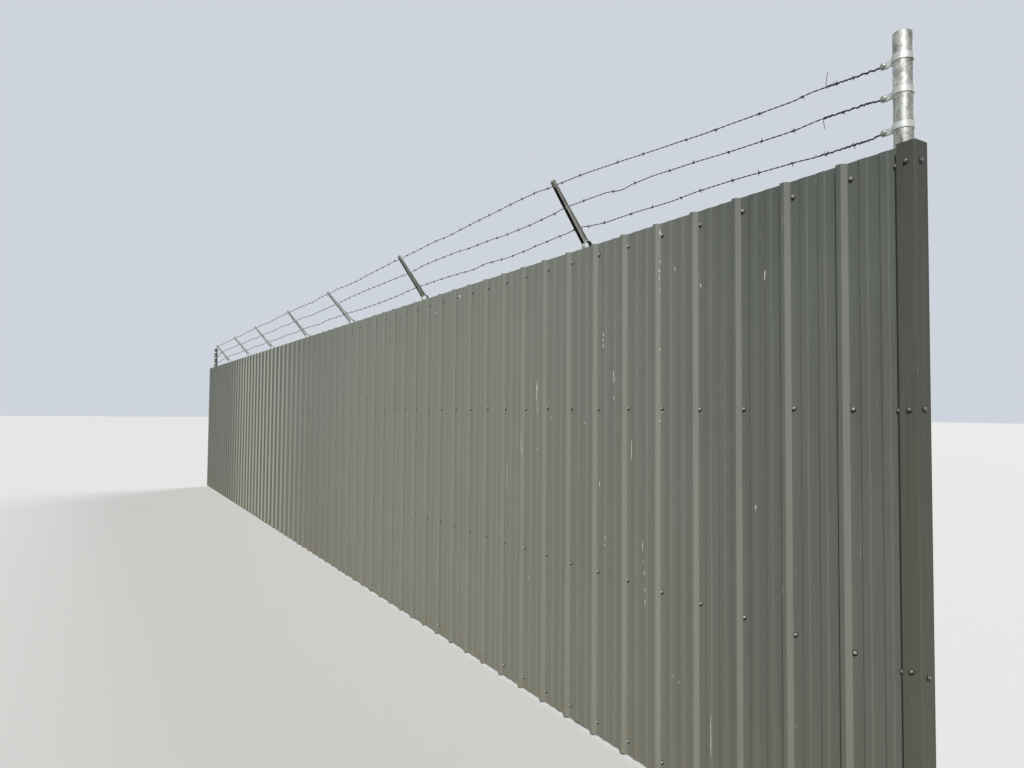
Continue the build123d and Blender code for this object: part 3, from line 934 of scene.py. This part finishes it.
def strand_point(index, u):
    route = ROUTES[index]
    for (a, ya, za), (b, yb, zb) in zip(route, route[1:]):
        if u <= b or b == route[-1][0]:
            t = (u - a) / (b - a)
            stray = smooth_between(STRAYS[index], u) / 1000
            return Vector((-u, ya + (yb - ya) * t, za + (zb - za) * t + stray))


def beside(point, angle, radius):
    """A point at an angle round a strand that runs along X."""
    return point + Vector((0, cos(angle), sin(angle))) * radius


def twisted(build, index, start, end):
    """Two wires twisted round one another."""
    count = int((end - start) / 0.009)
    places = [start + (end - start) * n / count for n in range(count + 1)]
    for wire in range(2):
        build.tube([beside(strand_point(index, u), 2 * pi * u / LAY + pi * wire, WIRE_R) for u in places], WIRE_R)


def barb(build, centre, spin, lean):
    """Two short wires wound round the strand, each with both of its ends standing out."""
    gauge = 0.001
    turns = 1.6
    steps = 12
    radius = 2 * WIRE_R + gauge
    for wire, way in ((0, 1), (1, -1)):
        points = []
        for n in range(steps + 1):
            a = spin + wire * 1.75 + way * 2 * pi * turns * n / steps
            x = (n / steps - 0.5) * 0.0042 + (wire - 0.5) * 0.0028
            points.append(centre + Vector((x, radius * cos(a), radius * sin(a))))
        first = (points[0] - points[1]).normalized()
        last = (points[-1] - points[-2]).normalized()
        head = points[0] + first * 0.0125 + Vector((-lean, 0, 0))
        tail = points[-1] + last * 0.0125 + Vector((lean, 0, 0))
        path = [head, points[0] + first * 0.004] + points + [points[-1] + last * 0.004, tail]
        build.tube(path, gauge, 5, [0.35] + [1] * (len(path) - 2) + [0.35])


def wrapped_end(build, index, start, end, a):
    """The strand's own end, brought back and wound round it in close turns from the angle a."""
    span = end - start
    steps = int(abs(span) / 0.0021)
    points = []
    for n in range(steps + 1):
        here = start + span * n / steps
        points.append(beside(strand_point(index, here), a, 0.0034 + 0.0007 * sin(47 * here + index)))
        pace = 0.021 * (1 + 0.38 * sin(31 * here + 2 * index) + 0.26 * sin(83 * here + index))
        a += 2 * pi * abs(span) / steps / pace
    for offset in (Vector((-0.0018, 0, 0)), Vector((0.0018, 0, 0))):
        build.tube([p + offset for p in points], WIRE_R, 5)
    return points[-1]


def post_wrap(build, u, level):
    """The strand's end taken once round the far post, with its barbs standing out."""
    r = POST_R + 0.002
    for wire in range(2):
        points = []
        for n in range(41):
            a = 2 * pi * 1.15 * n / 40
            h = level - 0.0145 - 0.0022 * wire - 0.006 * n / 40
            points.append(Vector((-u + r * cos(a), r * sin(a), h)))
        build.tube(points, WIRE_R, 5)
    r = POST_R + 0.003
    for a in (2.75, 3.3, 3.9, 4.6):
        c = Vector((-u + r * cos(a), r * sin(a), level - 0.018))
        outward = Vector((cos(a), sin(a), 0))
        flat = Vector((-outward.y, outward.x, 0))
        for lean in (-0.7, 0.8):
            tip = c + outward * 0.011 + Vector((0, 0, 0.009 * lean)) + flat * (0.004 * lean)
            build.tube([c - flat * 0.003, c + outward * 0.0015, tip], 0.0011, 5, [1, 1, 0.4])


# For each strand, in millimetres: u where its returned end stops, the two steps of the loose tail from there, and u
# of its first barbs
ENDS = ((299, (-10, -2, 4), (-22, -4, 10)), (281, (-3, 0, -12), (4, 0, -42)), (266, (1, 0, 16), (7, 0, 52)))
BARBS = ((171, 277, 418, 567, 698, 868, 980, 1159, 1306, 1502), (209, 398, 535, 690, 870, 1006, 1216, 1361, 1575),
         (166, 227, 352, 528, 729, 876, 1113, 1268, 1520))
for index, name in enumerate(("bottom_strand", "middle_strand", "top_strand")):
    build = Build()
    level = BAND_LEVELS[index]
    end = ROUTES[index][-1][0] + 0.004
    twisted(build, index, ROUTES[index][0][0] - 0.004, end)
    stop, *tail = ENDS[index]
    last = wrapped_end(build, index, WRAP_START, stop / 1000, 0.6 * index)
    wrapped_end(build, index, POSTS[-1] - WRAP_START, POSTS[-1] - 0.3, 1.1 * index)
    post_wrap(build, POSTS[-1], level)
    for eye, hand in ((BOLT_OUT, 1), (POSTS[-1] - BOLT_OUT, -1)):
        # the wires pass round the bolt between the ears and come back
        loop = []
        for n in range(15):
            a = pi * (0.62 - 1.24 * n / 14)
            loop.append(Vector((-(eye - 0.0055 * hand * cos(a)), 0, level - 0.001 + 0.0062 * sin(a))))
        joins = strand_point(index, eye + 0.024 * hand)
        build.tube([joins] + loop + [joins], 0.0012)
    places = [u / 1000 for u in BARBS[index]]
    while places[-1] < end - 0.18:
        places.append(places[-1] + BARB_PITCH + RNG.uniform(-0.004, 0.004))
    for u in places:
        if min(abs(u - p) for p in POSTS) > HELD:
            barb(build, strand_point(index, u), RNG.uniform(0, 6.28), RNG.uniform(-0.003, 0.003))
    build.tube([last] + [last + Vector(step) / 1000 for step in tail], 0.0011)
    build.piece(name + "_wires", [WIRE], "barbed_wire", 50, name)

# ---- dried droppings on the front


def splash(build, origin, along, out, z, wide, tall):
    """A thin dried run on the sheet, uneven in outline, standing just out of the paint."""
    edges = []
    for n in range(9):
        share = n / 8
        swell = sin(pi * min(1, 0.08 + 0.92 * share)) ** 0.6
        half = wide / 2 * max(0.1, swell) * RNG.uniform(0.6, 1.15)
        drift = wide * 0.25 * sin(share * 4 + origin.x * 9)
        edges.append((drift - half, drift + half, z + tall * (0.5 - share)))
    grids = []
    for lifts in ((0.00002, 0.0005, 0.0005, 0.00002), [-0.0002] * 4):
        spots = list(zip((0, 0.25, 0.75, 1), lifts))
        grids.append([[Vector((*(origin + along * ((1 - s) * a + s * b) + out * lift), h)) for s, lift in spots]
                      for a, b, h in edges])
    build.cells(*grids)


def on_pan(build, u, z, wide, tall):
    """On the flat between two major ribs, or on the minor rib that stands there."""
    within = (u - FIRST_RIB - RIB_BASE / 2) % RIB_PITCH
    rise = 0
    for i in range(2):
        inside = MINOR_BASE / 2 - abs(within - FLAT * (i + 1) - MINOR_BASE * (i + 0.5))
        if inside > 0:
            rise = MINOR_HEIGHT * min(1, inside / ((MINOR_BASE - MINOR_CREST) / 2))
    splash(build, Vector((-u, PAN - rise)), Vector((1, 0)), Vector((0, -1)), z, wide, tall)


def on_slope(build, k, up_slope, z, wide, tall):
    """On the face of rib k that looks to the near end, a little way up from its foot."""
    along = Vector((cos(RIB_SLOPE), sin(RIB_SLOPE)))
    out = Vector((sin(RIB_SLOPE), -cos(RIB_SLOPE)))
    splash(build, Vector((-near_foot(k), PAN)) - along * up_slope, along, out, z, wide, tall)


marks = Build()
# Each in millimetres: how far up the slope or along the fence, height, width and length
for k, *sizes in ((4, 1.4, 2407, 5.5, 26), (4, 1, 2275, 4.5, 8), (4, 5, 2234, 6, 9), (4, 5.4, 2203, 3, 26),
                  (4, 5.4, 2150, 2.2, 12), (4, 4, 1880, 4, 8), (4, 4, 1560, 4, 8), (9, 21.3, 1412, 2, 134),
                  (9, 15, 1371, 2, 64)):
    on_slope(marks, k, *(size / 1000 for size in sizes))
for sizes in ((829, 2133, 6, 19), (497, 2122, 6, 40), (546, 1238, 5, 26), (1187, 992, 6, 56), (1180, 917, 5, 10),
              (1174, 868, 6, 20), (1168, 793, 5, 20), (1267, 1420, 4.5, 96), (1060, 1602, 7, 10), (1168, 735, 4.5, 34),
              (1508, 1237, 6, 28), (1460, 981, 4, 20), (1464, 945, 6, 16), (776, 295, 3.5, 170), (2083, 1713, 9, 118),
              (1478, 1982, 6, 22), (1480, 1955, 6, 16), (1479, 1927, 7, 20), (1398, 1784, 6, 30), (1394, 1755, 7, 29),
              (1394, 1667, 6, 15), (2075, 1613, 4, 66), (2075, 1389, 6, 16), (2411, 1185, 3, 185), (2983, 2094, 8, 16),
              (3418, 2265, 14, 30), (3466, 2322, 14, 16), (6167, 2238, 22, 60), (6150, 2119, 22, 22),
              (3070, 2392, 20, 22), (990, 465, 5, 10), (954, 449, 4, 8)):
    on_pan(marks, *(size / 1000 for size in sizes))
for n in range(46):
    u = near_foot(RNG.randrange(2, 60))
    u += RNG.choice((0.058, 0.102, 0.137, 0.173, 0.217)) + RNG.uniform(-0.003, 0.003)
    on_pan(marks, u, RNG.uniform(0.25, 2.35), RNG.uniform(0.003, 0.007), RNG.uniform(0.005, 0.022))
marks.piece("dried_runs", [WHITE], "painted_sheet", 60)

# ---- floor, light and camera


def seen_rays(tree):
    """1 for the rays that the camera, a gloss or a clear surface sees, otherwise 0."""
    rays = add_node(tree, "LightPath", {}).outputs
    seen = rays["Is Camera Ray"]
    for kind in ("Is Glossy Ray", "Is Transmission Ray"):
        seen = add_node(tree, "Math", {0: seen, 1: rays[kind]}, operation="MAXIMUM").outputs[0]
    return seen


# A matt floor and a sky, each paler as seen than in the light that it sends
matt = Nodes("floor")
matt.colour = matt.mix(seen_rays(matt.tree), (0.25, 0.25, 0.23), (0.6, 0.6, 0.59))
mesh = bpy.data.meshes.new("floor")
mesh.from_pydata([(-160, -140, 0), (140, -140, 0), (140, 160, 0), (-160, 160, 0)], [], [(0, 1, 2, 3)])
mesh.materials.append(matt.finish(0.95, gloss=0.1))
floor = placed("floor", mesh)

world = bpy.data.worlds.new("studio")
bpy.context.scene.world = world
world.use_nodes = True
tree = world.node_tree
sent = add_node(tree, "Background", {"Color": (0.9, 0.94, 1), "Strength": 0.13})
shown = add_node(tree, "Background", {"Color": (0.62, 0.66, 0.72), "Strength": 1})
blend = add_node(tree, "MixShader", {0: seen_rays(tree), 1: sent.outputs[0], 2: shown.outputs[0]})
plug(tree, tree.nodes["World Output"], {"Surface": blend.outputs[0]})


def sun(name, azimuth, elevation, strength, softness, colour):
    """A soft far lamp; azimuth is measured from the front (-Y) towards the near end (+X), in degrees."""
    a = radians(azimuth)
    e = radians(elevation)
    towards = Vector((sin(a) * cos(e), -cos(a) * cos(e), sin(e)))
    light = bpy.data.lights.new(name, "SUN")
    light.energy = strength
    light.angle = radians(softness)
    light.color = colour
    lamp = placed(name, light)
    lamp.location = towards * 20
    lamp.rotation_euler = towards.to_track_quat("Z", "Y").to_euler()


sun("key", 42, 47, 3.7, 1, (1, 0.993, 0.975))
sun("near_side", 62, 12, 0.05, 36, (1, 0.995, 0.98))
sun("rear", 200, 34, 1.9, 40, (0.98, 0.99, 1))

# The photograph's camera: focal length in pixels of a picture 1024 wide, where it stands, and how it is turned
FOCAL = 707.15
STAND = (1.2977, -2.266, 1.5969)
YAW = radians(30.98)
PITCH = radians(2.237)
ROLL = radians(0.47)
forward = Vector((-cos(YAW) * cos(PITCH), sin(YAW) * cos(PITCH), sin(PITCH)))
level_right = forward.cross(UP).normalized()
level_up = level_right.cross(forward)
right = level_right * cos(ROLL) + level_up * sin(ROLL)
up = level_up * cos(ROLL) - level_right * sin(ROLL)
data = bpy.data.cameras.new("camera")
data.sensor_fit = "HORIZONTAL"
data.sensor_width = 36
data.lens = FOCAL / 1024 * data.sensor_width
data.clip_start = 0.05
data.clip_end = 200
camera = placed("camera", data)
camera.matrix_world = Matrix.Translation(STAND) @ Matrix((right, up, -forward)).transposed().to_4x4()
bpy.context.scene.camera = camera

bpy.context.scene.view_settings.view_transform = "Standard"
